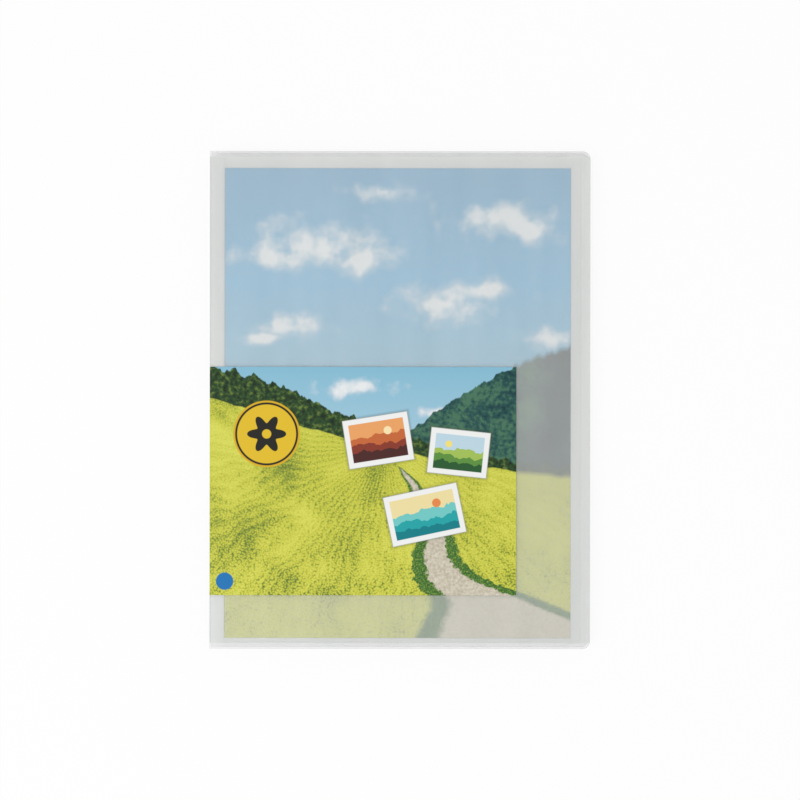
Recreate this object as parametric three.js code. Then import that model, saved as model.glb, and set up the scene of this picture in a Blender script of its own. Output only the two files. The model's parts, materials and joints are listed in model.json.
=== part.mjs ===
// Accordion photo album: two frosted covers with an accordion fold of clear pocket panels between
// them. It is closed and lies on its back cover. Millimetres, +Z up through the closed album, +Y to
// the open tops of the pockets, +X to the free edge. The origin is the middle of the back cover's
// outer face.
import * as THREE from "three";

// Paper
const SHEET_WIDTH = 228.6; // the pockets take nine by twelve inch sheets
const SHEET_HEIGHT = 304.8;
const SHEET_THICKNESS = 0.3;
const TITLE_TRIM = 3.8; // how much narrower the printed title sheet is than a full sheet
const TITLE_TRIM_AT_SPINE = 0.9; // the part of that trim that is on the spine side
const LABEL_WIDTH = 197.7;
const LABEL_HEIGHT = 147.3;
const LABEL_THICKNESS = 0.2;
const LABEL_ABOVE_FOOT = 34.5; // from the cover's bottom edge up to the label's bottom edge

// Film
const FILM_THICKNESS = 0.15;
const SHEET_FACE_CLEARANCE = 0.05; // between a sheet and the film on each side of it
const SHEET_EDGE_CLEARANCE = 0.2; // between a sheet's edge and the slope beside it
const POCKET_SLOPE = 1; // width over which a pocket front comes down to its weld
const SIDE_WELD = 3;
const BOTTOM_WELD = 1.4;
const SPINE_FLANGE = 3.7; // bare web between the spine edge and the pocket front
const FREE_FLANGE = 4.7; // bare web between the free edge and the pocket front
const POCKET_HEADROOM = 4.6; // from the top of a sheet to the top of the pocket front
const POCKET_LIP = 2; // how far the web stands above the pocket front
const CREASE_GAP = 0.05; // from the film to its crease line, both sideways and in height
const PANEL_COUNT = 10; // even, so that both covers are hinged at the spine
const PANEL_GAP = 0.3; // between neighbouring panels of the closed album
const WEB_END_WIDTH = 9; // the flap at each end of the web, welded to a cover

// Covers
const COVER_THICKNESS = 0.8;
const COVER_OVERHANG = 3.5; // beyond the panels, at the top and at the bottom
const COVER_CORNER_RADIUS = 5;
const COVER_CORNER_STEPS = 8;

// The album's outline follows from its pockets.
const POCKET_BORDER = POCKET_SLOPE + SHEET_EDGE_CLEARANCE;
const FRONT_WIDTH = SHEET_WIDTH + 2 * (POCKET_BORDER + SIDE_WELD);
const FRONT_HEIGHT = BOTTOM_WELD + POCKET_BORDER + SHEET_HEIGHT + POCKET_HEADROOM;
const WEB_HEIGHT = FRONT_HEIGHT + POCKET_LIP;
const ALBUM_WIDTH = SPINE_FLANGE + FRONT_WIDTH + FREE_FLANGE;
const ALBUM_HEIGHT = WEB_HEIGHT + 2 * COVER_OVERHANG;

// Edges, measured from the middle of the album
const SPINE_X = -ALBUM_WIDTH / 2;
const FREE_X = ALBUM_WIDTH / 2;
const FRONT_SPINE_X = SPINE_X + SPINE_FLANGE;
const FRONT_FREE_X = FREE_X - FREE_FLANGE;
const SHEET_X = FRONT_SPINE_X + SIDE_WELD + POCKET_BORDER;
const FOOT_Y = -ALBUM_HEIGHT / 2;
const HEAD_Y = ALBUM_HEIGHT / 2;
const WEB_FOOT_Y = FOOT_Y + COVER_OVERHANG;
const WEB_HEAD_Y = HEAD_Y - COVER_OVERHANG;
const SHEET_Y = WEB_FOOT_Y + BOTTOM_WELD + POCKET_BORDER;

// Heights inside a panel, above the crease below it, where the pocket front is on top
const POCKET_DEPTH = SHEET_THICKNESS + 2 * SHEET_FACE_CLEARANCE;
const PANEL_PITCH = PANEL_GAP + 2 * FILM_THICKNESS + POCKET_DEPTH;
const WEB_Z = PANEL_GAP / 2;
const WELD_Z = WEB_Z + FILM_THICKNESS;
const SHEET_Z = WELD_Z + SHEET_FACE_CLEARANCE;

// Heights in the closed album
const FIRST_CREASE_Z = COVER_THICKNESS + FILM_THICKNESS + CREASE_GAP;
const LAST_CREASE_Z = FIRST_CREASE_Z + PANEL_COUNT * PANEL_PITCH;
const FRONT_WEB_END_Z = LAST_CREASE_Z + CREASE_GAP;
const FRONT_COVER_Z = FRONT_WEB_END_Z + FILM_THICKNESS;
const LABEL_Z = FRONT_COVER_Z + COVER_THICKNESS;

const FROSTED = { color: 0xd9dcda, roughness: 0.45, metalness: 0 };
const CLEAR = { color: 0xe9eeee, roughness: 0.15, metalness: 0 };
const CARD = { color: 0xf4f3ee, roughness: 0.85, metalness: 0 };
const TITLE_PRINT = { color: 0x9fb4a8, roughness: 0.5, metalness: 0 };
const LABEL_PRINT = { color: 0x86a878, roughness: 0.35, metalness: 0 };

function addPiece(group, name, geometry, finish) {
  const mesh = new THREE.Mesh(geometry, new THREE.MeshStandardMaterial(finish));
  mesh.name = name;
  group.add(mesh);
}

// A plain rectangular sheet, given by its lower corner and its size.
function sheet(x, y, z, width, height, thickness) {
  const box = new THREE.BoxGeometry(width, height, thickness);
  box.translate(x + width / 2, y + height / 2, z + thickness / 2);
  return box;
}

// A cover: square corners at the spine, rounded corners at the free edge.
function cover(z) {
  const radius = COVER_CORNER_RADIUS;
  const outline = new THREE.Shape();
  outline.moveTo(SPINE_X, HEAD_Y);
  outline.lineTo(SPINE_X, FOOT_Y);
  outline.absarc(FREE_X - radius, FOOT_Y + radius, radius, -Math.PI / 2, 0, false);
  outline.absarc(FREE_X - radius, HEAD_Y - radius, radius, 0, Math.PI / 2, false);
  const plate = new THREE.ExtrudeGeometry(outline, {
    depth: COVER_THICKNESS,
    bevelEnabled: false,
    curveSegments: COVER_CORNER_STEPS,
  });
  plate.translate(0, 0, z);
  return plate;
}

// Turns the height of a piece's lower face upside down in its panel. The pockets all face the
// same way along the unfolded web, so in the closed album every second panel lies this way.
function upsideDown(z, thickness) {
  return PANEL_PITCH - z - thickness;
}

// The web of one panel, in section: flat in the middle, with a flange to the crease below it on
// one side and a flange to the crease above it on the other.
function webPanel(isUpsideDown) {
  const lowerFace = [
    [SPINE_X, CREASE_GAP],
    [FRONT_SPINE_X, WEB_Z],
    [FRONT_FREE_X, WEB_Z],
    [FREE_X, PANEL_PITCH - CREASE_GAP - FILM_THICKNESS],
  ].map(([x, z]) => [x, isUpsideDown ? upsideDown(z, FILM_THICKNESS) : z]);
  const upperFace = lowerFace.map(([x, z]) => [x, z + FILM_THICKNESS]);
  const section = new THREE.Shape(
    [...lowerFace, ...upperFace.reverse()].map(([x, z]) => new THREE.Vector2(x, z)),
  );
  const film = new THREE.ExtrudeGeometry(section, { depth: WEB_HEIGHT, bevelEnabled: false });
  film.rotateX(Math.PI / 2);
  film.translate(0, WEB_HEAD_Y, 0);
  return film;
}

// The front of one pocket: it stands off the web over the sheet, and comes down to a weld along
// both sides and the bottom. The top is open.
function pocketFront(isUpsideDown) {
  const columns = [
    FRONT_SPINE_X,
    FRONT_SPINE_X + SIDE_WELD,
    FRONT_SPINE_X + SIDE_WELD + POCKET_SLOPE,
    FRONT_FREE_X - SIDE_WELD - POCKET_SLOPE,
    FRONT_FREE_X - SIDE_WELD,
    FRONT_FREE_X,
  ];
  const rows = [
    WEB_FOOT_Y,
    WEB_FOOT_Y + BOTTOM_WELD,
    WEB_FOOT_Y + BOTTOM_WELD + POCKET_SLOPE,
    WEB_FOOT_Y + FRONT_HEIGHT,
  ];
  const lastColumn = columns.length - 1;
  const lastRow = rows.length - 1;
  const film = new THREE.BoxGeometry(lastColumn, lastRow, 1, lastColumn, lastRow, 1);
  const corners = film.getAttribute("position");
  for (let i = 0; i < corners.count; i += 1) {
    const column = Math.round(corners.getX(i) + lastColumn / 2);
    const row = Math.round(corners.getY(i) + lastRow / 2);
    const isWelded = column < 2 || column > lastColumn - 2 || row < 2;
    const height = isWelded ? WELD_Z : WELD_Z + POCKET_DEPTH;
    const lowerZ = isUpsideDown ? upsideDown(height, FILM_THICKNESS) : height;
    const isUpper = corners.getZ(i) > 0;
    corners.setXYZ(i, columns[column], rows[row], isUpper ? lowerZ + FILM_THICKNESS : lowerZ);
  }
  film.computeVertexNormals();
  return film;
}

// One panel of the fold, with the sheet in its pocket.
function addPanel(album, number) {
  const isUpsideDown = number % 2 === 0;
  const isLast = number === PANEL_COUNT;
  const label = String(number).padStart(2, "0");
  const sheetZ = isUpsideDown ? upsideDown(SHEET_Z, SHEET_THICKNESS) : SHEET_Z;
  const panel = new THREE.Group();
  panel.position.z = FIRST_CREASE_Z + (number - 1) * PANEL_PITCH;
  addPiece(panel, `web_panel_${label}`, webPanel(isUpsideDown), CLEAR);
  addPiece(panel, `pocket_front_${label}`, pocketFront(isUpsideDown), CLEAR);
  if (isLast) {
    const x = SHEET_X + TITLE_TRIM_AT_SPINE;
    const width = SHEET_WIDTH - TITLE_TRIM;
    const title = sheet(x, SHEET_Y, sheetZ, width, SHEET_HEIGHT, SHEET_THICKNESS);
    addPiece(panel, "title_sheet", title, TITLE_PRINT);
  } else {
    const blank = sheet(SHEET_X, SHEET_Y, sheetZ, SHEET_WIDTH, SHEET_HEIGHT, SHEET_THICKNESS);
    addPiece(panel, `mounting_sheet_${label}`, blank, CARD);
  }
  album.add(panel);
}

// The flap at one end of the web, flat on the inner face of its cover.
function webEnd(z) {
  return sheet(SPINE_X, WEB_FOOT_Y, z, WEB_END_WIDTH, WEB_HEIGHT, FILM_THICKNESS);
}

function buildAlbum() {
  const album = new THREE.Group();
  addPiece(album, "back_cover", cover(0), FROSTED);
  addPiece(album, "back_web_end", webEnd(COVER_THICKNESS), CLEAR);
  for (let number = 1; number <= PANEL_COUNT; number += 1) addPanel(album, number);
  addPiece(album, "front_web_end", webEnd(FRONT_WEB_END_Z), CLEAR);
  addPiece(album, "front_cover", cover(FRONT_COVER_Z), FROSTED);
  const labelY = FOOT_Y + LABEL_ABOVE_FOOT;
  const label = sheet(SPINE_X, labelY, LABEL_Z, LABEL_WIDTH, LABEL_HEIGHT, LABEL_THICKNESS);
  addPiece(album, "label_sheet", label, LABEL_PRINT);
  return album;
}

export default buildAlbum();
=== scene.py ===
"""An accordion photo album: frosted covers over a chain of clear pockets, dressed on its CAD frame."""
import json
import math

import bmesh
import bpy
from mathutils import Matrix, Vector


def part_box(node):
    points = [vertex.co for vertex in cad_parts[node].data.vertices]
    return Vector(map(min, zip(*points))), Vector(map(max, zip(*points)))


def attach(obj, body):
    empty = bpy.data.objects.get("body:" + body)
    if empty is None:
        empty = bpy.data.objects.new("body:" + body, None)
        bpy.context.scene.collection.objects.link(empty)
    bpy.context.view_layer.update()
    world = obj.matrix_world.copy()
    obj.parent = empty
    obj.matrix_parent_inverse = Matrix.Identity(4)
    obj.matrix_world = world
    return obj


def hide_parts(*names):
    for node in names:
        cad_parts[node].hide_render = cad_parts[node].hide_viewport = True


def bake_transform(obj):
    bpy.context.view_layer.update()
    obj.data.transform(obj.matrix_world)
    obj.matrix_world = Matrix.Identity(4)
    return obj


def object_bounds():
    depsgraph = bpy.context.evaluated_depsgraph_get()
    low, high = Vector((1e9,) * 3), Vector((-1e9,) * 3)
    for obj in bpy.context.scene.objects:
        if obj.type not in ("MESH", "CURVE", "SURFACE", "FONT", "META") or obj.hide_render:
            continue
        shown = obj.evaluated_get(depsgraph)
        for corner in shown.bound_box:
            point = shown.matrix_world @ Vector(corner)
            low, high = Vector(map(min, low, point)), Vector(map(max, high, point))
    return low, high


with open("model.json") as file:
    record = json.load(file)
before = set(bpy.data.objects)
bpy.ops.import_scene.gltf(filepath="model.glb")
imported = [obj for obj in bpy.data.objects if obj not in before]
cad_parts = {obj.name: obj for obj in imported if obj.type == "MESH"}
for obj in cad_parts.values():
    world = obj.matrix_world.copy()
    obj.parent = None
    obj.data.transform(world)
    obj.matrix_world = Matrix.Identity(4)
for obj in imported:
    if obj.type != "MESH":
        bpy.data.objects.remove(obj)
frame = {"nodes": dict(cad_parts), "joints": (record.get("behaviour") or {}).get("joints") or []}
CAD_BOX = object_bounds()

bl_info = {
    "name": "Accordion Photo Album",
    "version": (1, 0, 0),
    "blender": (4, 5, 0),
    "location": "3D View > Sidebar > Album",
    "description": "Dresses an accordion photo album with frosted covers, film, sheets and a label",
    "category": "Object",
}

MM = 0.001

# The camera hangs straight above the middle of the album.
LENS_MM = 100.0
SENSOR_MM = 36.0
IMAGE_SIDE_PX = 800
PX_PER_MM = 1.55  # at the front cover's outer face
VIEW_ROLL_DEG = 0.08

# The floor and the lamp
FLOOR_REACH = 20.0
FLOOR_DROP = 0.1 * MM  # below the album, so that they don't share a plane
BARE_GLOW = 0.9  # share of the floor's white that is its own glow, where it is bare
FILMED_GLOW = 0.3  # and where it is seen through film
LAMP_SIDE = 1.2
LAMP_PLACE = Vector((-0.7, -0.4, 1.3))
FILM_FACES = 32  # faces of clear film that a look into the open pockets may pass through

# Sizes from the frame
PANELS = sorted(name[-2:] for name in frame["nodes"] if name.startswith("web_panel_"))
SHEETS = sorted(name for name in frame["nodes"] if name.startswith("mounting_sheet_"))
BODY_ORDER = ["back_cover"] + ["panel_" + number for number in PANELS] + ["front_cover"]
FRONT_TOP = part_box("front_cover")[1].z
LABEL_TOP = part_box("label_sheet")[1].z
WEB_END_LOW, WEB_END_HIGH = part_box("back_web_end")
TITLE_LOW, TITLE_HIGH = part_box("title_sheet")
SHEET_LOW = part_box("mounting_sheet_01")[0]
FILM = WEB_END_HIGH.z - WEB_END_LOW.z
CREASE_GAP = frame["joints"][0]["pos_m"][2] - WEB_END_HIGH.z

POCKET_BORDER = 1.2 * MM  # from the edge of a sheet to the weld round it
HAIR = 0.02 * MM  # left between a cover and the film or label on it, so that they don't share a plane

# The printed picture, in millimetres from the middle of the album. Each ridge line is given by its
# heights at even steps from the left edge of the print to the right edge.
PRINT_LEFT = -125.0
PRINT_RIGHT = 115.0
PRINT_TOP = 152.0
PRINT_FOOT = -155.0
FAR_HILL = (-52, -48, -42, -26, 0, 22, 36)
WOODS = (22, 12, -6, -20, -32, -40, -44)
MEADOW = (2, -10, -22, -32, -40, -46, -50)
CLOUDS = (  # middle, half width and half height
    (-54, 100, 40, 15),
    (-28, 90, 26, 10),
    (-82, 92, 24, 9),
    (62, 118, 32, 11),
    (84, 110, 20, 8),
    (30, 62, 34, 11),
    (52, 70, 20, 8),
    (-70, 46, 24, 8),
    (-86, 40, 14, 5),
    (92, 40, 18, 6),
    (-10, 134, 22, 6),
    (-26, 8, 26, 7),
    (26, -8, 16, 4),
)
CLUMP_DEPTH = 1.1  # how strongly the far hill's trees stand in clumps
HILL_SHADE = 0.6  # how far that is darkened again
FAR_OFF = 1e6  # so large that what it stretches is flat there, and what it starts from is never near

# A sandy track that winds down from the foot of the woods: its middle and its half width at even
# steps from its foot to its top
TRACK_FOOT = -155.0
TRACK_TOP = -36.0
TRACK_MIDDLE = (82, 58, 26, 22, 12, -8)
TRACK_HALF_WIDTH = (58, 42, 26, 16, 9, 6.5, 4.5, 3.3, 2.2, 1.2, -5)
VERGE = 15.0  # width of the grass beside the track at its foot

# The flowering meadow: how bright it is in general, from 0 to 1, how much the stems, the shimmer of
# the blossoms, the rows and the beds change that, and how the rows run
MEADOW_LEVEL = 0.585
STEM_DEPTH = 0.4
SHIMMER_DEPTH = 0.4
ROW_DEPTH = 0.035
BED_DEPTH = 0.5
BLOSSOM_SPACING = 1.4
ROWS_MEET = (-8, -30)
ROWS_PER_RADIAN = 13
ROW_BEND = 0.35

# What the motifs are drawn with: the size of each mottle in millimetres, and how much detail it has.
# The fine ones follow the contrast of the print.
MOTTLES = {
    "trees": (3.0, 4.0),
    "flowers": (1.1, 4.0),
    "grains": (1.6, 4.0),
    "billows": (15.0, 4.0),
    "beds": (26.0, 1.0),
}
FINE_MOTTLES = ("trees", "flowers", "grains")

# Round motifs on the label: a yellow disc with a dark ring and a dark flower, and a small blue dot.
# Each has its middle, its radius, how far its edge goes in and out as petals, and its colour.
ROUND_MOTIFS = (
    (-86, -22, 21.5, 0, "#DDB022"),
    (-86, -22, 20.3, 0, "#1E1D18"),
    (-86, -22, 19.0, 0, "#E3BE2C"),
    (-86, -22, 9.8, 2.8, "#1E1D18"),
    (-86, -22, 3.0, 0, "#E3BE2C"),
    (-113, -117, 5.6, 0, "#1A74B6"),
)
PETALS = 6
MOTIF_EDGE = 0.2  # half the width over which a motif's edge blends into the picture

# Three white-bordered cards, fanned out on the label. Each has its middle, its turn in degrees, its
# half size, the colours of its rolling hills from the foot up, and its sun's place, radius and colour.
CARDS = (
    (
        (-14, -26), 9, (21, 15.5),
        [(0.0, "#4A2523"), (0.3, "#8A3A2A"), (0.45, "#C8693A"), (0.62, "#EDA566")],
        (7, 5.5), 2.6, "#FCE6B4",
    ),
    (
        (38, -34), -6, (19, 14.5),
        [(0.0, "#285A2F"), (0.28, "#5D9140"), (0.42, "#A4C25A"), (0.56, "#BFD9E6")],
        (-7, 5), 2.2, "#F6E27A",
    ),
    (
        (16, -74), 12, (24, 16),
        [(0.0, "#0B7F88"), (0.26, "#22A5A8"), (0.42, "#74CBC6"), (0.6, "#F0E0A6")],
        (9, 6), 2.8, "#E98A4B",
    ),
)
CREST_SPACING = 8.0
CREST_ROLL = 10.0  # how far the crests of the hills may rise and fall, between the noise's extremes
CARD_BORDER = 3.2
CARD_EDGE = 0.15  # half the width over which a card's edges blend
# Under a card lie a soft shadow, a grey outline and the white border. Each reaches so far past the
# card's edge, blends over half that width, and is printed at that strength in that colour.
CARD_RIMS = (
    (0.9, 1.3, 0.5, "#3B4220"),
    (0.35, CARD_EDGE, 1.0, "#AEB2B0"),
    (0, CARD_EDGE, 1.0, "#F3F4F2"),
)


def linear(text):
    """An sRGB hex colour, such as "#D9DCDA", as the linear colour that shaders take."""
    channels = [int(text[i : i + 2], 16) / 255 for i in (1, 3, 5)]
    return tuple(c / 12.92 if c <= 0.04045 else ((c + 0.055) / 1.055) ** 2.4 for c in channels) + (1.0,)


def add(tree, kind, inputs=None, stops=(), **settings):
    """Adds a node, sets its properties and its ramp's stops, and sets or links its inputs.

    An input is given as a value, as a socket, or as a node whose first output is meant.
    """
    node = tree.nodes.new(kind)
    for name, value in settings.items():
        setattr(node, name, value)
    for i, (position, colour) in enumerate(stops):
        if i >= len(node.color_ramp.elements):
            node.color_ramp.elements.new(position)
        node.color_ramp.elements[i].position = position
        node.color_ramp.elements[i].color = linear(colour) if isinstance(colour, str) else colour
    for key, value in (inputs or {}).items():
        if isinstance(value, bpy.types.Node):
            value = value.outputs[0]
        if isinstance(value, bpy.types.NodeSocket):
            tree.links.new(value, node.inputs[key])
        else:
            node.inputs[key].default_value = value
    return node


def new_material(name):
    """An empty node material and its tree."""
    material = bpy.data.materials.new(name)
    material.use_nodes = True
    material.node_tree.nodes.clear()
    return material, material.node_tree


def place_in_mm(tree):
    """The surface point in the album's own frame, in millimetres."""
    here = add(tree, "ShaderNodeTexCoord").outputs["Object"]
    return add(tree, "ShaderNodeVectorMath", {0: here, "Scale": 1 / MM}, operation="SCALE")


# Materials of the covers, the film and the blank sheets

def frosted_polypropylene(look):
    """Frosted polypropylene sheet, extruded with a matt face: milky, with a sheen and flow marks."""
    material, tree = new_material("Frosted polypropylene sheet")
    place = place_in_mm(tree)
    # Flow marks run along the sheet: 14 mm wide and six times as long.
    flow = add(tree, "ShaderNodeMapping", {"Vector": place, "Scale": (1 / 14, 1 / 84, 1 / 14)})
    marks = add(tree, "ShaderNodeTexNoise", {"Vector": flow, "Scale": 1.0, "Detail": 2.0})
    faces = add(
        tree,
        "ShaderNodeValToRGB",
        {"Fac": marks},
        [(0.3, look.cover_shade[:]), (0.7, look.cover_colour[:])],
    )
    # The matt face's grain is about 0.05 mm in the real sheet. It is drawn at 0.6 mm so that it shows.
    grain = add(tree, "ShaderNodeTexNoise", {"Vector": place, "Scale": 1 / 0.6, "Detail": 3.0})
    bump = add(tree, "ShaderNodeBump", {"Height": grain, "Strength": 0.2, "Distance": 0.03 * MM})
    # The cut edge is more solid than the faces, because the eye looks into the depth of the sheet there.
    # It is also painted greyer, as painted shade along the rim of the sheet.
    normal = add(tree, "ShaderNodeTexCoord").outputs["Normal"]
    facing = add(tree, "ShaderNodeSeparateXYZ", {"Vector": normal})
    upright = add(tree, "ShaderNodeMath", {0: facing.outputs["Z"]}, operation="ABSOLUTE")
    edge = add(tree, "ShaderNodeMapRange", {"Value": upright, "From Min": 0.98, "From Max": 0.6})
    opacity = add(
        tree, "ShaderNodeMapRange", {"Value": edge, "To Min": look.cover_haze, "To Max": look.edge_haze}
    )
    # Painted shade: the cut edges take the grey edge colour
    tint = add(tree, "ShaderNodeMix", {0: edge, 6: faces, 7: look.cover_edge_painted_shade[:]}, data_type="RGBA")
    shader = add(
        tree,
        "ShaderNodeBsdfPrincipled",
        {
            "Base Color": tint.outputs[2],
            "Roughness": 0.42,
            "IOR": 1.49,
            "Alpha": opacity,
            "Normal": bump,
        },
    )
    add(tree, "ShaderNodeOutputMaterial", {"Surface": shader})
    return material


def pocket_film(look):
    """Clear cast polypropylene film: glossy over a sheet, milky where it is welded or folded."""
    material, tree = new_material("Clear polypropylene film")
    place = place_in_mm(tree)
    # How far a point lies outside the rectangle of the title sheet, the smallest sheet
    middle = (TITLE_LOW + TITLE_HIGH) / 2 / MM
    half = (TITLE_HIGH - TITLE_LOW) / 2 / MM
    offset = add(
        tree, "ShaderNodeVectorMath", {0: place, 1: (middle.x, middle.y, 0)}, operation="SUBTRACT"
    )
    size = add(tree, "ShaderNodeVectorMath", {0: offset}, operation="ABSOLUTE")
    outside = add(tree, "ShaderNodeVectorMath", {0: size, 1: (half.x, half.y, 0)}, operation="SUBTRACT")
    sides = add(tree, "ShaderNodeSeparateXYZ", {"Vector": outside})
    beyond = add(
        tree, "ShaderNodeMath", {0: sides.outputs["X"], 1: sides.outputs["Y"]}, operation="MAXIMUM"
    )
    # The film turns milky just before the sheet's edge, where it is drawn down to the weld.
    opacity = add(
        tree,
        "ShaderNodeMapRange",
        {
            "Value": beyond,
            "From Min": -0.9,
            "From Max": -0.5,
            "To Min": look.film_haze,
            "To Max": look.weld_haze,
        },
        interpolation_type="SMOOTHSTEP",
    )
    # Outwards from the sheet the milky film turns from grey to pale over 10 mm; the grey is painted
    # shade, as if the sheet's edge shaded the film. Faint lines along the welds, 1.5 mm apart, shift
    # that by up to 4.5 mm either way.
    lines = add(
        tree,
        "ShaderNodeTexNoise",
        {"W": beyond, "Scale": 1 / 1.5, "Detail": 1.0},
        noise_dimensions="1D",
    )
    paler = add(tree, "ShaderNodeMath", {0: lines, 1: 9.0, 2: beyond}, operation="MULTIPLY_ADD")
    pale = add(tree, "ShaderNodeMapRange", {"Value": paler, "From Min": 3.0, "From Max": 13.0})
    tint = add(
        tree,
        "ShaderNodeMix",
        {0: pale, 6: look.film_painted_shade[:], 7: look.film_colour[:]},
        data_type="RGBA",
    )
    # Soft draw ripples, 35 mm apart, that bend a highlight on the loose film
    ripple = add(tree, "ShaderNodeTexNoise", {"Vector": place, "Scale": 1 / 35, "Detail": 1.0})
    bump = add(tree, "ShaderNodeBump", {"Height": ripple, "Strength": 0.5, "Distance": 0.6 * MM})
    shader = add(
        tree,
        "ShaderNodeBsdfPrincipled",
        {
            "Base Color": tint.outputs[2],
            "Roughness": 0.16,
            "IOR": 1.49,
            "Alpha": opacity,
            "Normal": bump,
        },
    )
    add(tree, "ShaderNodeOutputMaterial", {"Surface": shader})
    return material


def sealed_film():
    """Heat-sealed polypropylene film, pressed by a ribbed bar: whiter and more matt than plain film."""
    material, tree = new_material("Heat-sealed polypropylene film")
    # The bar presses a little unevenly over 20 mm.
    press = add(
        tree, "ShaderNodeTexNoise", {"Vector": place_in_mm(tree), "Scale": 1 / 20, "Detail": 1.0}
    )
    tint = add(tree, "ShaderNodeValToRGB", {"Fac": press}, [(0.35, "#E2E5E3"), (0.65, "#EDEFEE")])
    shader = add(
        tree,
        "ShaderNodeBsdfPrincipled",
        {"Base Color": tint, "Roughness": 0.5, "IOR": 1.49, "Alpha": 0.95},
    )
    add(tree, "ShaderNodeOutputMaterial", {"Surface": shader})
    return material


def white_card(look):
    """Uncoated white card, calendered and cut: matt, with a faint fibre cloud and a fine tooth."""
    material, tree = new_material("Uncoated white card")
    place = place_in_mm(tree)
    # The fibres lie in clouds about 4 mm across.
    cloud = add(
        tree, "ShaderNodeTexNoise", {"Vector": place, "Scale": 1 / 4, "Detail": 5.0, "Roughness": 0.6}
    )
    tint = add(
        tree, "ShaderNodeValToRGB", {"Fac": cloud}, [(0.3, "#F3F2ED"), (0.7, look.card_colour[:])]
    )
    # Paper tooth is about 0.1 mm. It is drawn at 0.5 mm so that it shows.
    tooth = add(tree, "ShaderNodeTexNoise", {"Vector": place, "Scale": 1 / 0.5, "Detail": 4.0})
    bump = add(tree, "ShaderNodeBump", {"Height": tooth, "Strength": 0.15, "Distance": 0.03 * MM})
    shader = add(
        tree,
        "ShaderNodeBsdfPrincipled",
        {"Base Color": tint, "Roughness": 0.85, "Specular IOR Level": 0.3, "Normal": bump},
    )
    add(tree, "ShaderNodeOutputMaterial", {"Surface": shader})
    return material


# The printed picture

def ridge(tree, along, heights, roughness, bumps, seed):
    """A line through evenly spaced heights with a rough edge, in millimetres.

    along runs from 0 to 1 over the line's length, and bumps is how many bumps it has on the way.
    """
    low, high = min(heights), max(heights)
    level = [(height - low) / (high - low) for height in heights]
    curve = add(tree, "ShaderNodeFloatCurve", {"Value": along})
    points = curve.mapping.curves[0].points
    points[0].location = (0, level[0])
    points[1].location = (1, level[-1])
    for i in range(1, len(level) - 1):
        points.new(i / (len(level) - 1), level[i])
    curve.mapping.update()
    line = add(tree, "ShaderNodeMapRange", {"Value": curve, "To Min": low, "To Max": high})
    steps = add(tree, "ShaderNodeMath", {0: along, 1: bumps, 2: seed}, operation="MULTIPLY_ADD")
    edge = add(
        tree, "ShaderNodeTexNoise", {"W": steps, "Scale": 1.0, "Detail": 4.0}, noise_dimensions="1D"
    )
    rough = add(tree, "ShaderNodeMapRange", {"Value": edge, "To Min": -roughness, "To Max": roughness})
    return add(tree, "ShaderNodeMath", {0: line, 1: rough})


def printed_mottles(tree, place, contrast):
    """A fine or coarse noise for each kind of mottle, by its name."""
    mottles = {}
    for name, (size, detail) in MOTTLES.items():
        mottles[name] = add(
            tree, "ShaderNodeTexNoise", {"Vector": place, "Scale": 1 / size, "Detail": detail}
        )
    for name in FINE_MOTTLES:
        mottles[name] = add(
            tree,
            "ShaderNodeMapRange",
            {"Value": mottles[name], "To Min": 0.5 - contrast / 2, "To Max": 0.5 + contrast / 2},
        )
    return mottles


def cloudy_sky(tree, place, up, billows, softness):
    """A blue sky that pales towards the land, with clouds: soft ellipses with billowing edges."""
    level = add(
        tree, "ShaderNodeMapRange", {"Value": up, "From Min": PRINT_FOOT, "From Max": PRINT_TOP}
    )
    sky = add(
        tree,
        "ShaderNodeValToRGB",
        {"Fac": level},
        [(0.4, "#A9CDE0"), (0.57, "#88BED5"), (0.75, "#6EB9DC"), (1.0, "#5BA8CD")],
    )
    # How far a point is from the middle of its nearest cloud, where 1 is the cloud's edge
    nearest = FAR_OFF
    for x, y, half_width, half_height in CLOUDS:
        local = add(
            tree,
            "ShaderNodeMapping",
            {"Vector": place, "Location": (x, y, 0), "Scale": (half_width, half_height, FAR_OFF)},
            vector_type="TEXTURE",
        )
        away = add(tree, "ShaderNodeVectorMath", {0: local}, operation="LENGTH")
        nearest = add(
            tree,
            "ShaderNodeMath",
            {0: nearest, 1: away.outputs["Value"], 2: 0.3},
            operation="SMOOTH_MIN",
        )
    # The billows move a cloud's edge to between 0 and 1.5 times the size of its ellipse.
    puff = add(tree, "ShaderNodeMath", {0: billows, 1: 3.0, 2: -0.75}, operation="MULTIPLY_ADD")
    depth = add(tree, "ShaderNodeMath", {0: puff, 1: nearest}, operation="SUBTRACT")
    # A cloud's edge is wispy even in a crisp print, and some sky shows through its middle.
    spread = 0.3 + 0.2 * softness
    cover = add(
        tree,
        "ShaderNodeMapRange",
        {"Value": depth, "From Min": -spread, "From Max": spread, "To Max": 0.95},
        interpolation_type="SMOOTHSTEP",
    )
    white = add(tree, "ShaderNodeValToRGB", {"Fac": depth}, [(0.0, "#C9D8E2"), (0.55, "#EEF0F0")])
    mixed = add(tree, "ShaderNodeMix", {0: cover, 6: sky, 7: white}, data_type="RGBA")
    return mixed.outputs[2]


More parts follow.
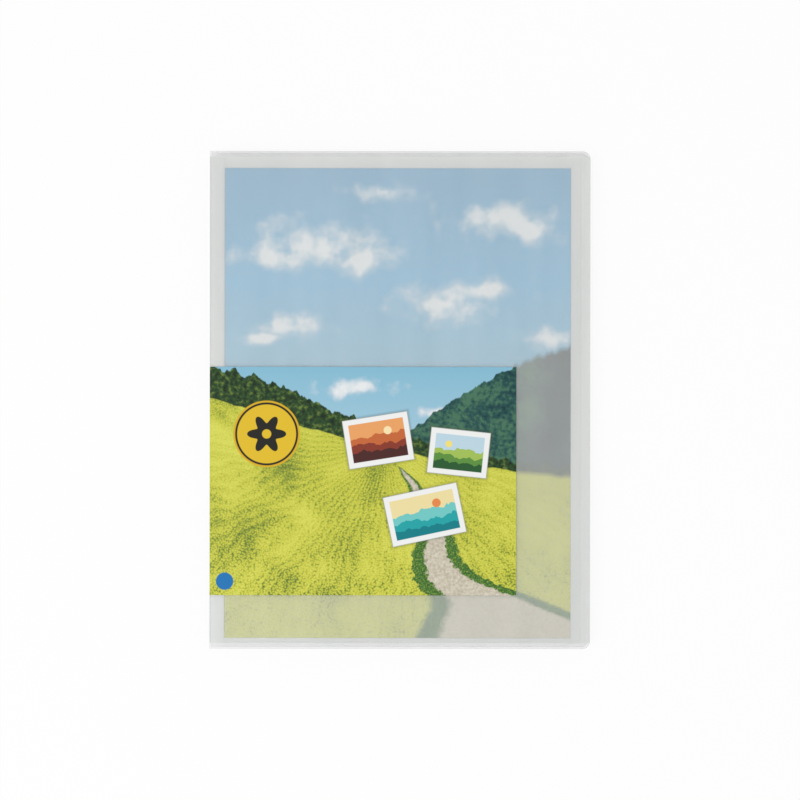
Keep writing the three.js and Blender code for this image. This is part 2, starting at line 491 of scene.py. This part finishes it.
def flowering_rows(tree, place, up, mottles, contrast):
    """How bright the meadow is: yellow blossoms over dark stems, in rows, with paler and darker beds."""
    # Rows run away from the eye: each lies along its own angle from where they would meet.
    offset = add(tree, "ShaderNodeVectorMath", {0: place, 1: (*ROWS_MEET, 0)}, operation="SUBTRACT")
    legs = add(tree, "ShaderNodeSeparateXYZ", {"Vector": offset}).outputs
    angle = add(tree, "ShaderNodeMath", {0: legs["X"], 1: legs["Y"]}, operation="ARCTAN2")
    bend = add(
        tree, "ShaderNodeMath", {0: mottles["beds"], 1: ROW_BEND, 2: angle}, operation="MULTIPLY_ADD"
    )
    phase = add(tree, "ShaderNodeMath", {0: bend, 1: ROWS_PER_RADIAN * math.tau}, operation="MULTIPLY")
    wave = add(tree, "ShaderNodeMath", {0: phase}, operation="SINE")
    # Farther than 0.4 of the spacing from a blossom are dark stems, which fade with distance.
    blossoms = add(
        tree,
        "ShaderNodeTexVoronoi",
        {"Vector": place, "Scale": 1 / BLOSSOM_SPACING},
        voronoi_dimensions="2D",
    )
    stems = add(
        tree,
        "ShaderNodeMath",
        {0: blossoms, 1: -STEM_DEPTH * contrast, 2: 0.4 * STEM_DEPTH * contrast},
        operation="MULTIPLY_ADD",
    )
    nearness = add(
        tree,
        "ShaderNodeMapRange",
        {"Value": up, "From Min": ROWS_MEET[1], "From Max": PRINT_FOOT, "To Min": 0.25, "To Max": 1.0},
    )
    shimmer = add(
        tree,
        "ShaderNodeMath",
        {0: mottles["flowers"], 1: SHIMMER_DEPTH, 2: MEADOW_LEVEL - SHIMMER_DEPTH / 2},
        operation="MULTIPLY_ADD",
    )
    flowers = add(tree, "ShaderNodeMath", {0: stems, 1: nearness, 2: shimmer}, operation="MULTIPLY_ADD")
    rows = add(
        tree, "ShaderNodeMath", {0: wave, 1: ROW_DEPTH * contrast, 2: flowers}, operation="MULTIPLY_ADD"
    )
    beds = add(
        tree,
        "ShaderNodeMath",
        {0: mottles["beds"], 1: BED_DEPTH * contrast, 2: -BED_DEPTH / 2 * contrast},
        operation="MULTIPLY_ADD",
    )
    return add(tree, "ShaderNodeMath", {0: rows, 1: beds})


def land(tree, right, up, mottles, meadow, softness):
    """The far hill, the woods before it and the meadow before them, each as a mask and a colour."""
    # On the far hill the trees stand in clumps, with lighter slopes between them.
    clumps = add(
        tree,
        "ShaderNodeMath",
        {0: mottles["beds"], 1: CLUMP_DEPTH, 2: mottles["trees"]},
        operation="MULTIPLY_ADD",
    )
    hillside = add(tree, "ShaderNodeMath", {0: clumps, 1: HILL_SHADE}, operation="SUBTRACT")
    across = add(
        tree, "ShaderNodeMapRange", {"Value": right, "From Min": PRINT_LEFT, "From Max": PRINT_RIGHT}
    )
    layers = []
    for heights, roughness, grain, seed, shade, stops in (
        (
            FAR_HILL, 3.0, 6.0, 3.0, hillside,
            [(0.3, "#163A3E"), (0.5, "#24504E"), (0.72, "#4A765C")],
        ),
        (
            WOODS, 5.0, 7.0, 11.0, mottles["trees"],
            [(0.35, "#142814"), (0.53, "#2B4A24"), (0.74, "#74883C")],
        ),
        (
            MEADOW, 1.4, 14.0, 29.0, meadow,
            [(0.35, "#647A30"), (0.47, "#9DA83A"), (0.55, "#C4C644"), (0.72, "#DADB5C")],
        ),
    ):
        bumps = (PRINT_RIGHT - PRINT_LEFT) / grain
        line = ridge(tree, across, heights, roughness, bumps, seed)
        below = add(tree, "ShaderNodeMath", {0: line, 1: up}, operation="SUBTRACT")
        mask = add(
            tree, "ShaderNodeMapRange", {"Value": below, "From Min": -softness, "From Max": softness}
        )
        colour = add(tree, "ShaderNodeValToRGB", {"Fac": shade}, stops)
        layers.append((mask, colour))
    return layers


def sandy_track(tree, right, up, mottles, softness):
    """The grass verge and the sand of the winding track, each as a mask and a colour."""
    farther = add(
        tree, "ShaderNodeMapRange", {"Value": up, "From Min": TRACK_FOOT, "From Max": TRACK_TOP}
    )
    middle = ridge(tree, farther, TRACK_MIDDLE, roughness=1.0, bumps=12, seed=7.0)
    half = ridge(tree, farther, TRACK_HALF_WIDTH, roughness=0.2, bumps=30, seed=13.0)
    aside = add(tree, "ShaderNodeMath", {0: right, 1: middle}, operation="SUBTRACT")
    distance = add(tree, "ShaderNodeMath", {0: aside}, operation="ABSOLUTE")
    inside = add(tree, "ShaderNodeMath", {0: half, 1: distance}, operation="SUBTRACT")
    # The verge narrows to nothing with distance, and creeps over the sand in tufts.
    verge = add(tree, "ShaderNodeMath", {0: farther, 1: -VERGE, 2: VERGE}, operation="MULTIPLY_ADD")
    tufts = add(tree, "ShaderNodeMath", {0: mottles["trees"], 1: 0.5}, operation="SUBTRACT")
    sandy = add(tree, "ShaderNodeMath", {0: tufts, 1: verge, 2: inside}, operation="MULTIPLY_ADD")
    grassy = add(tree, "ShaderNodeMath", {0: sandy, 1: verge})
    layers = []
    for depth, shade, stops in (
        (grassy, mottles["flowers"], [(0.32, "#2A5228"), (0.5, "#47752F"), (0.7, "#8FA84A")]),
        (sandy, mottles["grains"], [(0.3, "#B8B09C"), (0.5, "#CDC5B0"), (0.72, "#E0D9C9")]),
    ):
        mask = add(
            tree,
            "ShaderNodeMapRange",
            {"Value": depth, "From Min": -1.5 * softness, "From Max": 1.5 * softness},
        )
        colour = add(tree, "ShaderNodeValToRGB", {"Fac": shade}, stops)
        layers.append((mask, colour))
    return layers


def landscape(tree, place, softness, contrast):
    """The printed picture: clouds in a blue sky, a far hill, dark woods, a yellow meadow and a track.

    softness is how far an edge between two motifs spreads, in millimetres, and contrast how strong
    the mottles within a motif are.
    """
    sides = add(tree, "ShaderNodeSeparateXYZ", {"Vector": place})
    right, up = sides.outputs["X"], sides.outputs["Y"]
    mottles = printed_mottles(tree, place, contrast)
    meadow = flowering_rows(tree, place, up, mottles, contrast)
    picture = cloudy_sky(tree, place, up, mottles["billows"], softness)
    layers = land(tree, right, up, mottles, meadow, softness)
    layers += sandy_track(tree, right, up, mottles, softness)
    for mask, colour in layers:
        picture = add(
            tree, "ShaderNodeMix", {0: mask, 6: picture, 7: colour}, data_type="RGBA"
        ).outputs[2]
    return picture


def round_motifs(tree, place, picture):
    """Lays the disc, its ring and flower and the small dot over the picture."""
    for x, y, radius, petal, colour in ROUND_MOTIFS:
        out = add(
            tree, "ShaderNodeVectorMath", {0: place, 1: (x, y, LABEL_TOP / MM)}, operation="SUBTRACT"
        )
        away = add(tree, "ShaderNodeVectorMath", {0: out}, operation="LENGTH")
        legs = add(tree, "ShaderNodeSeparateXYZ", {"Vector": out}).outputs
        angle = add(tree, "ShaderNodeMath", {0: legs["Y"], 1: legs["X"]}, operation="ARCTAN2")
        turns = add(tree, "ShaderNodeMath", {0: angle, 1: PETALS}, operation="MULTIPLY")
        wave = add(tree, "ShaderNodeMath", {0: turns}, operation="COSINE")
        rim = add(tree, "ShaderNodeMath", {0: wave, 1: petal, 2: radius}, operation="MULTIPLY_ADD")
        inside = add(tree, "ShaderNodeMath", {0: rim, 1: away.outputs["Value"]}, operation="SUBTRACT")
        mask = add(
            tree,
            "ShaderNodeMapRange",
            {"Value": inside, "From Min": -MOTIF_EDGE, "From Max": MOTIF_EDGE},
        )
        picture = add(
            tree, "ShaderNodeMix", {0: mask, 6: picture, 7: linear(colour)}, data_type="RGBA"
        ).outputs[2]
    return picture


def card_view(tree, local, half, bands, sun, sun_radius, sun_colour):
    """What a card shows: hills one behind the other in plain colours, and a round sun over them."""
    height = add(tree, "ShaderNodeSeparateXYZ", {"Vector": local}).outputs["Y"]
    roll = add(tree, "ShaderNodeTexNoise", {"Vector": local, "Scale": 1 / CREST_SPACING, "Detail": 2.0})
    rolled = add(tree, "ShaderNodeMath", {0: roll, 1: CREST_ROLL, 2: height}, operation="MULTIPLY_ADD")
    level = add(
        tree,
        "ShaderNodeMapRange",
        {"Value": rolled, "From Min": CREST_ROLL / 2 - half[1], "From Max": CREST_ROLL / 2 + half[1]},
    )
    hills = add(tree, "ShaderNodeValToRGB", {"Fac": level}, bands)
    hills.color_ramp.interpolation = "CONSTANT"
    away = add(tree, "ShaderNodeVectorMath", {0: local, 1: (*sun, 0)}, operation="DISTANCE")
    disc = add(
        tree,
        "ShaderNodeMapRange",
        {
            "Value": away.outputs["Value"],
            "From Min": sun_radius + MOTIF_EDGE,
            "From Max": sun_radius - MOTIF_EDGE,
        },
    )
    mixed = add(tree, "ShaderNodeMix", {0: disc, 6: hills, 7: linear(sun_colour)}, data_type="RGBA")
    return mixed.outputs[2]


def bordered_cards(tree, place, picture):
    """Lays the three cards over the picture, the last one on top."""
    for (x, y), turn, half, bands, sun, sun_radius, sun_colour in CARDS:
        local = add(
            tree,
            "ShaderNodeMapping",
            {
                "Vector": place,
                "Location": (x, y, LABEL_TOP / MM),
                "Rotation": (0, 0, math.radians(turn)),
            },
            vector_type="TEXTURE",
        )
        size = add(tree, "ShaderNodeVectorMath", {0: local}, operation="ABSOLUTE")
        view = card_view(tree, local, half, bands, sun, sun_radius, sun_colour)
        rims = [(reach, edge, strength, linear(colour)) for reach, edge, strength, colour in CARD_RIMS]
        for reach, edge, strength, colour in rims + [(-CARD_BORDER, CARD_EDGE, 1.0, view)]:
            over = add(
                tree,
                "ShaderNodeVectorMath",
                {0: size, 1: (half[0] + reach, half[1] + reach, 0)},
                operation="SUBTRACT",
            )
            sides = add(tree, "ShaderNodeSeparateXYZ", {"Vector": over}).outputs
            beyond = add(tree, "ShaderNodeMath", {0: sides["X"], 1: sides["Y"]}, operation="MAXIMUM")
            mask = add(
                tree,
                "ShaderNodeMapRange",
                {"Value": beyond, "From Min": edge, "From Max": -edge, "To Max": strength},
            )
            picture = add(
                tree, "ShaderNodeMix", {0: mask, 6: picture, 7: colour}, data_type="RGBA"
            ).outputs[2]
    return picture


def finish_print(tree, picture, place, roughness, gloss):
    """Puts the picture on the upper side of a sheet and bare white on its reverse and edges."""
    normal = add(tree, "ShaderNodeTexCoord").outputs["Normal"]
    facing = add(tree, "ShaderNodeSeparateXYZ", {"Vector": normal})
    upper = add(tree, "ShaderNodeMath", {0: facing.outputs["Z"], 1: 0.5}, operation="GREATER_THAN")
    printed = add(tree, "ShaderNodeMix", {0: upper, 6: linear("#F4F3EF"), 7: picture}, data_type="RGBA")
    # Coated stock keeps a slight orange peel, about 1.5 mm across.
    peel = add(tree, "ShaderNodeTexNoise", {"Vector": place, "Scale": 1 / 1.5, "Detail": 2.0})
    bump = add(tree, "ShaderNodeBump", {"Height": peel, "Strength": 0.1, "Distance": 0.03 * MM})
    shader = add(
        tree,
        "ShaderNodeBsdfPrincipled",
        {
            "Base Color": printed.outputs[2],
            "Roughness": roughness,
            "Specular IOR Level": gloss,
            "Normal": bump,
        },
    )
    add(tree, "ShaderNodeOutputMaterial", {"Surface": shader})


def printed_title():
    """Offset-printed matt coated paper: a full picture with hardly any shine, white on its reverse.

    The frosted cover blurs what lies under it, so the print itself is soft and low in contrast.
    """
    material, tree = new_material("Matt coated printing paper")
    place = place_in_mm(tree)
    picture = landscape(tree, place, softness=1.8, contrast=0.42)
    finish_print(tree, picture, place, roughness=0.5, gloss=0.25)
    return material


def printed_label():
    """Offset-printed and varnished label paper: the picture, crisp and glossy, with motifs over it."""
    material, tree = new_material("Varnished label paper")
    place = place_in_mm(tree)
    picture = landscape(tree, place, softness=0.4, contrast=1.0)
    picture = round_motifs(tree, place, picture)
    picture = bordered_cards(tree, place, picture)
    finish_print(tree, picture, place, roughness=0.3, gloss=0.18)
    return material


# Meshes

def mesh_object(name, shape, material):
    """Turns a bmesh into a named object with smooth shading."""
    bmesh.ops.recalc_face_normals(shape, faces=shape.faces)
    mesh = bpy.data.meshes.new(name)
    shape.to_mesh(mesh)
    shape.free()
    mesh.materials.append(material)
    mesh.shade_smooth()
    piece = bpy.data.objects.new(name, mesh)
    bpy.context.scene.collection.objects.link(piece)
    return piece


def extrude_outline(points, rise):
    """A closed solid: a flat outline of points, raised by a vector."""
    shape = bmesh.new()
    bottom = [shape.verts.new(point) for point in points]
    top = [shape.verts.new(Vector(point) + Vector(rise)) for point in points]
    shape.faces.new(bottom)
    shape.faces.new(top)
    for i in range(len(points)):
        shape.faces.new((bottom[i - 1], bottom[i], top[i], top[i - 1]))
    return shape


def weld_mark_tree():
    """Marks of a heat-seal bar: low rounded ribs evenly spaced along a path, half sunk in the film."""
    tree = bpy.data.node_groups.new("Heat-seal marks", "GeometryNodeTree")
    sockets = {}
    for name, kind in (
        ("Path", "NodeSocketGeometry"),
        ("Spacing", "NodeSocketFloat"),
        ("Length", "NodeSocketFloat"),
        ("Width", "NodeSocketFloat"),
        ("Height", "NodeSocketFloat"),
        ("Material", "NodeSocketMaterial"),
    ):
        sockets[name] = tree.interface.new_socket(name, in_out="INPUT", socket_type=kind).identifier
    tree.interface.new_socket("Marks", in_out="OUTPUT", socket_type="NodeSocketGeometry")
    given = add(tree, "NodeGroupInput").outputs
    line = add(tree, "GeometryNodeMeshToCurve", {"Mesh": given["Path"]})
    points = add(
        tree, "GeometryNodeResampleCurve", {"Curve": line, "Length": given["Spacing"]}, mode="LENGTH"
    )
    rib = add(tree, "GeometryNodeMeshIcoSphere", {"Radius": 0.5, "Subdivisions": 1})
    double = add(tree, "ShaderNodeMath", {0: given["Height"], 1: 2}, operation="MULTIPLY")
    size = add(tree, "ShaderNodeCombineXYZ", {"X": given["Length"], "Y": given["Width"], "Z": double})
    sized = add(tree, "GeometryNodeTransform", {"Geometry": rib, "Scale": size})
    tangent = add(tree, "GeometryNodeInputTangent")
    along = add(
        tree, "FunctionNodeAlignRotationToVector", {"Vector": tangent}, axis="X", pivot_axis="Z"
    )
    marks = add(
        tree, "GeometryNodeInstanceOnPoints", {"Points": points, "Instance": sized, "Rotation": along}
    )
    real = add(tree, "GeometryNodeRealizeInstances", {"Geometry": marks})
    finished = add(tree, "GeometryNodeSetMaterial", {"Geometry": real, "Material": given["Material"]})
    add(tree, "NodeGroupOutput", {"Marks": finished})
    return tree, sockets


def pocket_welds(number):
    """The middle lines of a pocket's welds, on both faces: the foot between the two sides."""
    low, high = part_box("pocket_front_" + number)
    web_low, web_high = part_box("web_panel_" + number)
    side = (SHEET_LOW.x - low.x - POCKET_BORDER) / 2
    foot = (SHEET_LOW.y - low.y - POCKET_BORDER) / 2
    # The pocket front stands off the web on the side that its box reaches further.
    faces_up = high.z - web_high.z > web_low.z - low.z
    faces = (low.z - FILM, low.z + FILM) if faces_up else (high.z - FILM, high.z + FILM)
    points, edges = [], []
    for z in faces:
        first = len(points)
        points += [
            (low.x + side, high.y - side, z),
            (low.x + side, low.y + foot, z),
            (high.x - side, low.y + foot, z),
            (high.x - side, high.y - side, z),
        ]
        edges += [(first + i, first + i + 1) for i in range(3)]
    return points, edges


def end_weld(name, face):
    """The middle line of the weld between a web end and its cover, on the web end's free face."""
    low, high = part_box(name)
    middle = (low.x + high.x) / 2
    margin = high.x - middle
    return [(middle, low.y + margin, face), (middle, high.y - margin, face)], [(0, 1)]


# Sizes and colours that a user would change

class AlbumSizes(bpy.types.PropertyGroup):
    """Sizes of the covers' edges and of the weld marks"""

    corner_radius: bpy.props.FloatProperty(
        name="Cover Corner",
        description="Radius of a cover's corners at the free edge",
        default=5 * MM,
        unit="LENGTH",
    )
    edge_round: bpy.props.FloatProperty(
        name="Cover Edge",
        description="Rounding of a cover's cut edges",
        default=0.15 * MM,
        unit="LENGTH",
    )
    mark_spacing: bpy.props.FloatProperty(
        name="Weld Mark Spacing",
        description="Distance between the marks of the heat-seal bar",
        default=2 * MM,
        unit="LENGTH",
    )
    mark_length: bpy.props.FloatProperty(
        name="Weld Mark Length",
        description="Size of a mark along the weld",
        default=0.9 * MM,
        unit="LENGTH",
    )
    mark_width: bpy.props.FloatProperty(
        name="Weld Mark Width",
        description="Size of a mark across the weld",
        default=1.2 * MM,
        unit="LENGTH",
    )
    mark_height: bpy.props.FloatProperty(
        name="Weld Mark Height",
        description="How far a mark stands off the film",
        default=0.05 * MM,
        unit="LENGTH",
    )


class AlbumLook(bpy.types.PropertyGroup):
    """Colours and clearness of the covers, the film and the card, and the share of light from the sky"""

    cover_colour: bpy.props.FloatVectorProperty(
        name="Cover Colour",
        description="Colour of the frosted cover sheet",
        default=linear("#F8F9F8"),
        subtype="COLOR",
        size=4,
    )
    cover_shade: bpy.props.FloatVectorProperty(
        name="Cover Flow Marks",
        description="Colour of the darker flow marks in the cover sheet",
        default=linear("#EFF1F0"),
        subtype="COLOR",
        size=4,
    )
    # Painted shade: the grey that the cut edges of a cover are painted with
    cover_edge_painted_shade: bpy.props.FloatVectorProperty(
        name="Cover Edge Colour",
        description="Colour of the cut edges of a cover",
        default=linear("#B9BDBC"),
        subtype="COLOR",
        size=4,
    )
    cover_haze: bpy.props.FloatProperty(
        name="Cover Haze",
        description="Opacity of each face of a cover",
        default=0.185,
        min=0,
        max=1,
        subtype="FACTOR",
    )
    edge_haze: bpy.props.FloatProperty(
        name="Cover Edge Haze",
        description="Opacity of the cut edges of a cover",
        default=0.6,
        min=0,
        max=1,
        subtype="FACTOR",
    )
    film_colour: bpy.props.FloatVectorProperty(
        name="Film Colour",
        description="Colour of the pocket film where it is milky",
        default=linear("#EBEDEB"),
        subtype="COLOR",
        size=4,
    )
    # Painted shade: the darker colour that the milky film is painted close to a sheet, as if the sheet
    # shaded it
    film_painted_shade: bpy.props.FloatVectorProperty(
        name="Film Shade",
        description="Colour of the milky film close to a sheet",
        default=linear("#DADCDA"),
        subtype="COLOR",
        size=4,
    )
    film_haze: bpy.props.FloatProperty(
        name="Film Haze",
        description="Opacity of each face of the film over a sheet",
        default=0.03,
        min=0,
        max=1,
        subtype="FACTOR",
    )
    weld_haze: bpy.props.FloatProperty(
        name="Weld Haze",
        description="Opacity of each face of the film round a sheet",
        default=0.9,
        min=0,
        max=1,
        subtype="FACTOR",
    )
    card_colour: bpy.props.FloatVectorProperty(
        name="Card Colour",
        description="Colour of the blank mounting sheets",
        default=linear("#FAFAF7"),
        subtype="COLOR",
        size=4,
    )
    light: bpy.props.FloatProperty(
        name="Light",
        description="Share of the light that comes from the sky; the lamp gives the rest",
        default=0.74,
        min=0,
        max=1,
        subtype="FACTOR",
    )


def seen_directly(tree):
    """Light Path's outputs, and 1 where the camera, a reflection or clear glass looks at a surface."""
    rays = add(tree, "ShaderNodeLightPath").outputs
    seen = rays["Is Camera Ray"]
    for name in ("Is Glossy Ray", "Is Transmission Ray"):
        seen = add(tree, "ShaderNodeMath", {0: seen, 1: rays[name]}, operation="MAXIMUM")
    return rays, seen


def matt_white_floor():
    """Matt white seamless floor: looks its own white, with the album's shadow on it."""
    material, tree = new_material("Matt white floor")
    rays, seen = seen_directly(tree)
    # Bare floor looks mostly its own white, with the shadow in the rest. Through the film it is
    # nearly plain matt white, lit like the album on it.
    bare = add(
        tree,
        "ShaderNodeMapRange",
        {"Value": rays["Transparent Depth"], "To Min": BARE_GLOW, "To Max": FILMED_GLOW},
    )
    share = add(tree, "ShaderNodeMath", {0: seen, 1: bare}, operation="MULTIPLY")
    matt = add(tree, "ShaderNodeBsdfDiffuse", {"Color": linear("#F7F7F7")})
    white = add(tree, "ShaderNodeEmission", {"Color": linear("#FFFFFF"), "Strength": 1.0})
    mixed = add(tree, "ShaderNodeMixShader", {0: share, 1: matt, 2: white})
    add(tree, "ShaderNodeOutputMaterial", {"Surface": mixed})
    return material


def dress(name, material):
    """Gives a CAD node its material."""
    for slot in frame["nodes"][name].material_slots:
        slot.material = material


class ALBUM_OT_stage(bpy.types.Operator):
    """Makes the floor, the soft light and the camera"""

    bl_idname = "album.stage"
    bl_label = "Stage"

    def execute(self, context):
        scene = context.scene
        look = scene.album_look
        scene.view_settings.view_transform = "Standard"
        scene.cycles.transparent_max_bounces = FILM_FACES

        shape = bmesh.new()
        bmesh.ops.create_grid(shape, x_segments=1, y_segments=1, size=FLOOR_REACH)
        bmesh.ops.translate(shape, verts=shape.verts, vec=(0, 0, CAD_BOX[0][2] - FLOOR_DROP))
        mesh_object("floor", shape, matt_white_floor())

        world = bpy.data.worlds.new("Soft sky")
        world.use_nodes = True
        tree = world.node_tree
        tree.nodes.clear()
        _, seen = seen_directly(tree)
        strength = add(tree, "ShaderNodeMapRange", {"Value": seen, "To Min": look.light, "To Max": 1.0})
        sky = add(tree, "ShaderNodeBackground", {"Color": linear("#FFFFFF"), "Strength": strength})
        add(tree, "ShaderNodeOutputWorld", {"Surface": sky})
        scene.world = world

        lamp = bpy.data.lights.new("Soft lamp", "AREA")
        lamp.shape = "SQUARE"
        lamp.size = LAMP_SIDE
        # Power that gives the rest of a plain level at the album, from the lamp's distance and slant
        lamp.energy = (1 - look.light) * math.pi**2 * LAMP_PLACE.length**3 / LAMP_PLACE.z
        hung = bpy.data.objects.new("Soft lamp", lamp)
        hung.location = LAMP_PLACE
        hung.rotation_euler = (-LAMP_PLACE).to_track_quat("-Z", "Y").to_euler()
        scene.collection.objects.link(hung)

        camera = bpy.data.cameras.new("Camera")
        camera.lens = LENS_MM
        camera.sensor_width = SENSOR_MM
        field = IMAGE_SIDE_PX / PX_PER_MM * MM
        eye = bpy.data.objects.new("Camera", camera)
        eye.location = (0, 0, FRONT_TOP + field * LENS_MM / SENSOR_MM)
        eye.rotation_euler = (0, 0, math.radians(VIEW_ROLL_DEG))
        scene.collection.objects.link(eye)
        scene.camera = eye
        return {"FINISHED"}


class ALBUM_OT_covers(bpy.types.Operator):
    """Makes the two frosted cover sheets with their rounded corners and eased edges"""

    bl_idname = "album.covers"
    bl_label = "Cover Sheets"

    def execute(self, context):
        sizes = context.scene.album_sizes
        material = frosted_polypropylene(context.scene.album_look)
        radius = sizes.corner_radius
        for body, lift in (("back_cover", 0), ("front_cover", HAIR)):
            low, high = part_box(body)
            low.z += lift
            high.z -= HAIR
            points = [(low.x, high.y, low.z), (low.x, low.y, low.z)]
            # A quarter circle in 6 degree steps at each corner of the free edge
            for y, first in ((low.y + radius, -90), (high.y - radius, 0)):
                for degrees in range(first, first + 91, 6):
                    angle = math.radians(degrees)
                    x = high.x - radius + radius * math.cos(angle)
                    points.append((x, y + radius * math.sin(angle), low.z))
            shape = extrude_outline(points, (0, 0, high.z - low.z))
            piece = mesh_object(body + "_sheet", shape, material)
            eased = piece.modifiers.new("Eased edge", "BEVEL")
            eased.width = sizes.edge_round
            eased.segments = 3
            eased.limit_method = "ANGLE"
            eased.harden_normals = True
            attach(piece, body)
            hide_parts(body)
        return {"FINISHED"}


class ALBUM_OT_film(bpy.types.Operator):
    """Gives the web, the pocket fronts and the web ends their clear film"""

    bl_idname = "album.film"
    bl_label = "Pocket Film"

    def execute(self, context):
        material = pocket_film(context.scene.album_look)
        names = ["back_web_end", "front_web_end"]
        for number in PANELS:
            names += ["web_panel_" + number, "pocket_front_" + number]
        for name in names:
            dress(name, material)
        return {"FINISHED"}


class ALBUM_OT_weld_marks(bpy.types.Operator):
    """Makes the heat-seal marks along the welds of every pocket and of the web ends"""

    bl_idname = "album.weld_marks"
    bl_label = "Weld Marks"

    def execute(self, context):
        sizes = context.scene.album_sizes
        material = sealed_film()
        tree, sockets = weld_mark_tree()
        welds = [("panel_" + number, *pocket_welds(number)) for number in PANELS]
        welds.append(("back_cover", *end_weld("back_web_end", WEB_END_HIGH.z)))
        welds.append(("front_cover", *end_weld("front_web_end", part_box("front_web_end")[0].z)))
        for body, points, edges in welds:
            path = bpy.data.meshes.new("weld_marks_" + body)
            path.from_pydata(points, edges, [])
            piece = bpy.data.objects.new(path.name, path)
            context.scene.collection.objects.link(piece)
            modifier = piece.modifiers.new("Marks", "NODES")
            modifier.node_group = tree
            for name, value in (
                ("Spacing", sizes.mark_spacing),
                ("Length", sizes.mark_length),
                ("Width", sizes.mark_width),
                ("Height", sizes.mark_height),
                ("Material", material),
            ):
                modifier[sockets[name]] = value
            graph = context.evaluated_depsgraph_get()
            marks = bpy.data.meshes.new_from_object(piece.evaluated_get(graph))
            piece.modifiers.remove(modifier)
            piece.data = marks
            marks.shade_smooth()
            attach(piece, body)
        return {"FINISHED"}


class ALBUM_OT_creases(bpy.types.Operator):
    """Makes the folded film that joins each panel to the next and the web to the covers"""

    bl_idname = "album.creases"
    bl_label = "Creases"

    def execute(self, context):
        material = bpy.data.materials["Clear polypropylene film"]
        low, high = WEB_END_LOW, WEB_END_HIGH
        reach = CREASE_GAP + FILM
        # A fold stops short of the plane that the creases of its side share, because each layer
        # meets its mirror image there when a crease is opened flat.
        bulge = 0.9 * CREASE_GAP
        for joint, below, above in zip(frame["joints"], BODY_ORDER, BODY_ORDER[1:]):
            x, _, z = joint["pos_m"]
            away = -1 if x < 0 else 1
            edge = x - away * CREASE_GAP
            # A half ellipse in 15 degree steps
            section = []
            for degrees in range(-90, 91, 15):
                angle = math.radians(degrees)
                out = edge + away * bulge * math.cos(angle)
                section.append((out, low.y, z + reach * math.sin(angle)))
            shape = extrude_outline(section, (0, high.y - low.y, 0))
            piece = mesh_object(joint["name"] + "_fold", shape, material)
            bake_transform(piece)
        return {"FINISHED"}


class ALBUM_OT_sheets(bpy.types.Operator):
    """Gives the mounting sheets their card and the title sheet its print"""

    bl_idname = "album.sheets"
    bl_label = "Sheets"

    def execute(self, context):
        card = white_card(context.scene.album_look)
        dress("title_sheet", printed_title())
        for name in SHEETS:
            dress(name, card)
        return {"FINISHED"}


class ALBUM_OT_label(bpy.types.Operator):
    """Gives the cover's label its print"""

    bl_idname = "album.label"
    bl_label = "Label"

    def execute(self, context):
        dress("label_sheet", printed_label())
        return {"FINISHED"}


STEPS = (
    ALBUM_OT_stage,
    ALBUM_OT_covers,
    ALBUM_OT_film,
    ALBUM_OT_weld_marks,
    ALBUM_OT_creases,
    ALBUM_OT_sheets,
    ALBUM_OT_label,
)


class ALBUM_PT_panel(bpy.types.Panel):
    """Lists the album's pieces, sizes and colours"""

    bl_label = "Accordion Photo Album"
    bl_idname = "ALBUM_PT_panel"
    bl_space_type = "VIEW_3D"
    bl_region_type = "UI"
    bl_category = "Album"

    def draw(self, context):
        for group in (context.scene.album_sizes, context.scene.album_look):
            for name in group.__annotations__:
                self.layout.prop(group, name)
        for step in STEPS:
            self.layout.operator(step.bl_idname)


CLASSES = (AlbumSizes, AlbumLook) + STEPS + (ALBUM_PT_panel,)


def register():
    """Adds the album's operators and panel, and its sizes and colours to every scene."""
    for item in CLASSES:
        bpy.utils.register_class(item)
    bpy.types.Scene.album_sizes = bpy.props.PointerProperty(type=AlbumSizes)
    bpy.types.Scene.album_look = bpy.props.PointerProperty(type=AlbumLook)


def unregister():
    """Takes away what register adds."""
    del bpy.types.Scene.album_look
    del bpy.types.Scene.album_sizes
    for item in reversed(CLASSES):
        bpy.utils.unregister_class(item)


def main():
    """Makes every piece in order."""
    register()
    bpy.ops.album.stage()
    bpy.ops.album.covers()
    bpy.ops.album.film()
    bpy.ops.album.weld_marks()
    bpy.ops.album.creases()
    bpy.ops.album.sheets()
    bpy.ops.album.label()
    bpy.context.view_layer.update()


if __name__ == "__main__":
    main()
